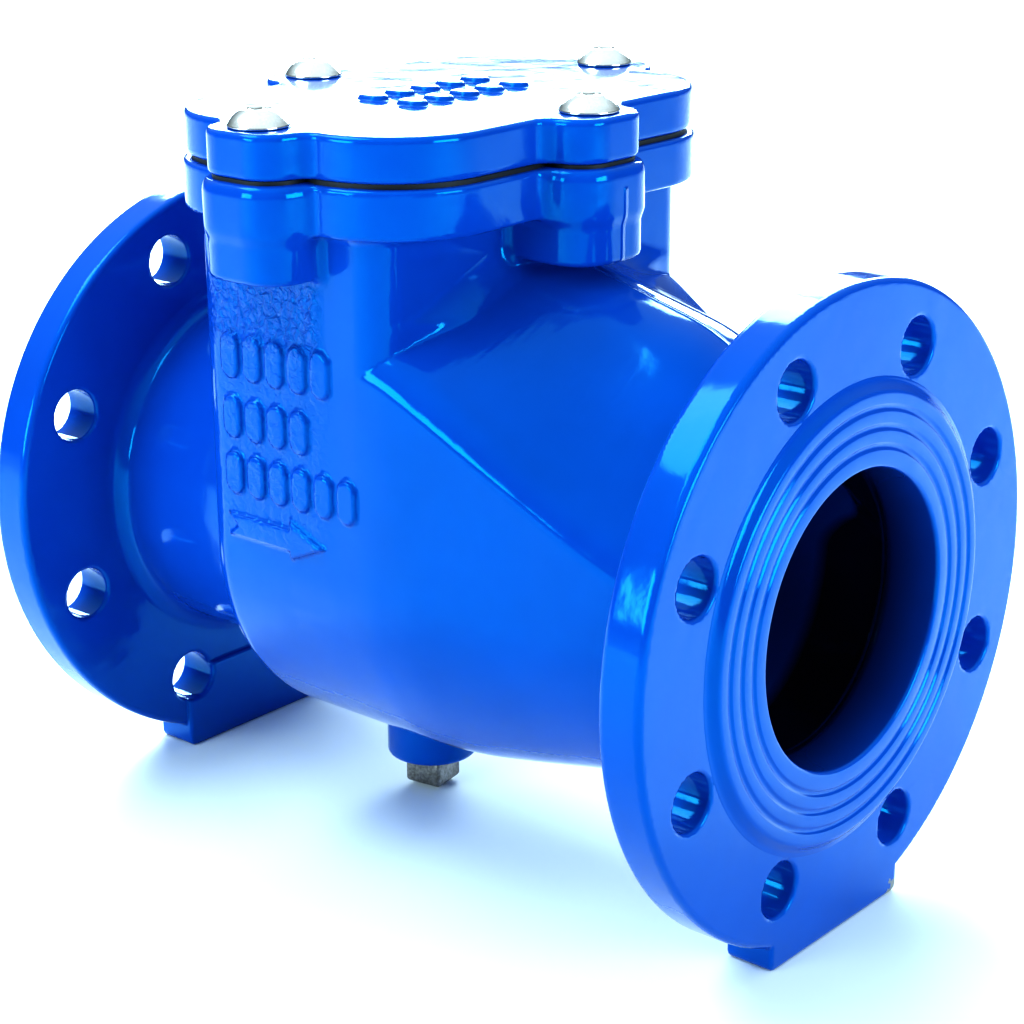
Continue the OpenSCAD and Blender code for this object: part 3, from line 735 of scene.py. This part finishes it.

# %% [markdown]
# ## Blue epoxy
# Fusion-bonded epoxy is powder melted onto hot iron. It is a thick, very smooth dielectric, so
# it gives a crisp highlight over a deep colour. It levels like honey but not perfectly: waves
# about 14 mm long show the iron underneath, and a finer orange peel about 3 mm long is its own.
# Powder this saturated tints its own highlight, hence the cyan specular tint. Handling has
# chipped it in places, and a bump along the crown is the seam between the two halves of the mould.
# Inside the bore the colour is painted darker, as painted shade where little light reaches in.

# %% Epoxy material
def millimetres(size):
    """Noise scale for a pattern whose features are this many millimetres apart."""
    return 1000 / size


def box_mask(tree, where, low, high, soft):
    """One inside a box and zero outside, fading over a soft edge; sizes in metres."""
    split = add(tree, "SeparateXYZ", {0: where})
    mask = None
    for axis in range(3):
        for limit, sign in ((low[axis], 1), (high[axis], -1)):
            start, end = limit - sign * soft, limit + sign * soft
            edge = add(tree, "MapRange", {"Value": split.outputs[axis], "From Min": start,
                                          "From Max": end}, interpolation_type="SMOOTHSTEP")
            if mask is None:
                mask = edge.outputs["Result"]
            else:
                mask = add(tree, "Math", {0: mask, 1: edge.outputs["Result"]},
                           operation="MULTIPLY").outputs[0]
    return mask


def bumpy(tree, height, depth, normal=None):
    """A Bump node of a depth in metres on top of an earlier one; its normal."""
    inputs = {"Height": height, "Strength": 1.0, "Distance": depth}
    if normal is not None:
        inputs["Normal"] = normal
    return add(tree, "Bump", inputs).outputs["Normal"]


def spot_mask(tree, where, centre, radius):
    """One near a centre and zero beyond a radius, with a ragged edge."""
    ragged = add(tree, "TexNoise", {"Vector": where, "Scale": millimetres(2.5), "Detail": 4})
    away = add(tree, "VectorMath", {0: where, 1: centre}, operation="DISTANCE").outputs["Value"]
    edge = add(tree, "Math", {0: ragged.outputs["Fac"], 1: 2 * radius, 2: away},
               operation="MULTIPLY_ADD").outputs[0]
    return add(tree, "MapRange", {"Value": edge, "From Min": 2.1 * radius, "From Max": 1.9 * radius}
               ).outputs["Result"]


WAVE_DEPTH, PEEL_DEPTH = 0.00022, 0.000026
BORE_SHADE_RADII = (0.0565, 0.0575)    # the painted shade in the bore ends between these distances from the axis
BORE_SHADE_DEPTH = (0.125, 0.150)      # and the painted shade deepens between the flange face and this depth


def epoxy(name, patches, seams, spots):
    """Glossy blue epoxy on cast iron, with rough-cast patches, seams, spots of bare iron, and painted
    shade in the bore.
    """
    material = bpy.data.materials.new(name)
    material.use_nodes = True
    tree = material.node_tree
    shader = tree.nodes["Principled BSDF"]
    where = add(tree, "TexCoord", {}).outputs["Object"]
    cloud = add(tree, "TexNoise", {"Vector": where, "Scale": millimetres(45), "Detail": 3})
    shades = add(tree, "ValToRGB", {"Fac": cloud.outputs["Fac"]})
    shades.color_ramp.elements[0].position, shades.color_ramp.elements[1].position = 0.3, 0.7
    shades.color_ramp.elements[0].color = linear("#08449C")
    shades.color_ramp.elements[1].color = linear("#084AA6")
    gloss = add(tree, "MapRange", {"Value": cloud.outputs["Fac"], "To Min": 0.06, "To Max": 0.13})
    colour, rough = shades.outputs["Color"], gloss.outputs["Result"]
    waves = add(tree, "TexNoise", {"Vector": where, "Scale": millimetres(14), "Detail": 1})
    peel = add(tree, "TexNoise", {"Vector": where, "Scale": millimetres(3), "Detail": 2})
    normal = bumpy(tree, waves.outputs["Fac"], WAVE_DEPTH)
    normal = bumpy(tree, peel.outputs["Fac"], PEEL_DEPTH, normal)
    for low, high, soft, depth in patches:
        mask = box_mask(tree, where, low, high, soft)
        grit = add(tree, "TexNoise", {"Vector": where, "Scale": millimetres(3.2), "Detail": 3,
                                      "Distortion": 0.6})
        height = add(tree, "Math", {0: grit.outputs["Fac"], 1: mask}, operation="MULTIPLY")
        normal = bumpy(tree, height.outputs[0], depth, normal)
    for low, high, soft, depth in seams:
        normal = bumpy(tree, box_mask(tree, where, low, high, soft), depth, normal)
    # Painted shade: inside the bore, the colour is mixed towards near-black navy, deeper in from each
    # flange face.
    split = add(tree, "SeparateXYZ", {0: where})
    from_axis = add(tree, "Math", {0: split.outputs["Z"], 1: -AXIS_HEIGHT / 1000}, operation="ADD")
    across = add(tree, "CombineXYZ", {"X": split.outputs["Y"], "Y": from_axis.outputs[0]})
    from_pipe = add(tree, "VectorMath", {0: across.outputs[0]}, operation="LENGTH").outputs["Value"]
    bore = add(tree, "MapRange", {"Value": from_pipe, "From Min": BORE_SHADE_RADII[1],
                                  "From Max": BORE_SHADE_RADII[0]})
    along = add(tree, "Math", {0: split.outputs["X"]}, operation="ABSOLUTE")
    bore_shade_fade = add(tree, "MapRange", {"Value": along.outputs[0], "From Min": BORE_SHADE_DEPTH[1],
                                  "From Max": BORE_SHADE_DEPTH[0]})
    inside = add(tree, "Math", {0: bore.outputs["Result"], 1: bore_shade_fade.outputs["Result"]},
                 operation="MULTIPLY").outputs[0]
    # The painted shade's colour, a near-black navy.
    dark = add(tree, "Mix", {"Factor": inside, 6: colour, 7: linear("#050B22")}, data_type="RGBA")
    colour = dark.outputs[2]
    for centre, radius, iron in spots:
        mask = spot_mask(tree, where, centre, radius)
        mixed = add(tree, "Mix", {"Factor": mask, 6: colour, 7: linear(iron)}, data_type="RGBA")
        colour = mixed.outputs[2]
        rough = add(tree, "MapRange", {"Value": mask, "To Min": rough, "To Max": 0.5}
                    ).outputs["Result"]
    for key, value in {"Base Color": colour, "Roughness": rough, "Normal": normal}.items():
        tree.links.new(value, shader.inputs[key])
    shader.inputs["IOR"].default_value = 1.55
    shader.inputs["Specular IOR Level"].default_value = 0.6
    shader.inputs["Specular Tint"].default_value = linear("#00C8FF")
    return material


rough_patch = [((-0.058, -0.090, 0.188), (-0.008, -0.076, 0.214), 0.004, 0.0022),
               ((-0.056, -0.090, 0.120), (-0.006, -0.076, 0.188), 0.006, 0.0005)]
crown_seam = [((0.026, -0.0007, 0.150), (0.122, 0.0007, 0.240), 0.0007, 0.0005)]
bare_spots = [((0.147, 0.038, 0.001), 0.005, "#8A8178")]
body_epoxy = epoxy("fusion_bonded_epoxy_body", rough_patch, crown_seam, bare_spots)
cover_epoxy = epoxy("fusion_bonded_epoxy_cover", [], [], [])
for piece in [body, bpy.data.objects["raised_inlet_face"], bpy.data.objects["raised_outlet_face"]]:
    piece.data.materials.append(body_epoxy)
cover.data.materials.append(cover_epoxy)
print("epoxy on", body.name, "and", cover.name)

# %% [markdown]
# ## Metals and rubber
# One recipe serves the bare metals: a tint, a base roughness, and a fine grain that breaks up
# both. Rolled and turned steel has a grain under a millimetre, cast iron one of about two.

# %% Metals and rubber
def grainy(name, dark, light, metallic, roughness, grain, depth, **sockets):
    """A material whose colour and roughness wander with a grain of that many millimetres."""
    material = bpy.data.materials.new(name)
    material.use_nodes = True
    tree = material.node_tree
    shader = tree.nodes["Principled BSDF"]
    where = add(tree, "TexCoord", {}).outputs["Object"]
    fine = add(tree, "TexNoise", {"Vector": where, "Scale": millimetres(grain), "Detail": 4})
    broad = add(tree, "TexNoise", {"Vector": where, "Scale": millimetres(9 * grain), "Detail": 2})
    both = add(tree, "Math", {0: fine.outputs["Fac"], 1: broad.outputs["Fac"]}, operation="MULTIPLY")
    colour = add(tree, "ValToRGB", {"Fac": both.outputs[0]})
    colour.color_ramp.elements[0].position, colour.color_ramp.elements[1].position = 0.15, 0.4
    colour.color_ramp.elements[0].color = linear(dark)
    colour.color_ramp.elements[1].color = linear(light)
    rough = add(tree, "MapRange", {"Value": fine.outputs["Fac"], "To Min": roughness * 0.8,
                                   "To Max": roughness * 1.25})
    tree.links.new(colour.outputs["Color"], shader.inputs["Base Color"])
    tree.links.new(rough.outputs["Result"], shader.inputs["Roughness"])
    tree.links.new(bumpy(tree, fine.outputs["Fac"], depth), shader.inputs["Normal"])
    shader.inputs["Metallic"].default_value = metallic
    for key, value in sockets.items():
        shader.inputs[key].default_value = value
    return material


stainless = grainy("stainless_steel_cold_headed", "#F2E6DE", "#FFF6EE", 1, 0.18, 0.8, 0.000006)
plug_iron = grainy("malleable_iron_zinc_plated", "#6E675F", "#A9A39A", 1, 0.42, 1.2, 0.00004)
bronze = grainy("gunmetal_bronze_turned", "#8A6436", "#B98B4E", 1, 0.32, 0.8, 0.00001)
bracket_iron = grainy("ductile_iron_cast", "#26282B", "#3D4044", 0.6, 0.55, 2.0, 0.0001)
pin_steel = grainy("stainless_steel_turned", "#9A9DA1", "#C4C7CA", 1, 0.28, 0.8, 0.00001)
rubber = grainy("epdm_rubber_moulded", "#0B0B0C", "#161617", 0, 0.55, 1.5, 0.00003)

bolts.data.materials.append(stainless)
drain_plug.data.materials.append(plug_iron)
FINISHES = {
    "cover_gasket": rubber, "disc_rubber": rubber,
    "body_seat_ring": bronze, "thrust_washers": bronze, "arm_bushes": bronze,
    "hanger_bracket": bracket_iron, "hinge_arm": bracket_iron, "disc": bracket_iron,
    "hanger_screws": pin_steel, "hanger_spring_washers": pin_steel, "hinge_pin": pin_steel,
    "hinge_pin_washer": pin_steel, "hinge_pin_cotter": pin_steel, "disc_washer": pin_steel,
    "disc_nut": pin_steel, "disc_cotter": pin_steel,
}
for node, material in FINISHES.items():
    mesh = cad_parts[node].data
    mesh.materials.clear()
    mesh.materials.append(material)
print(len(FINISHES), "CAD nodes finished")
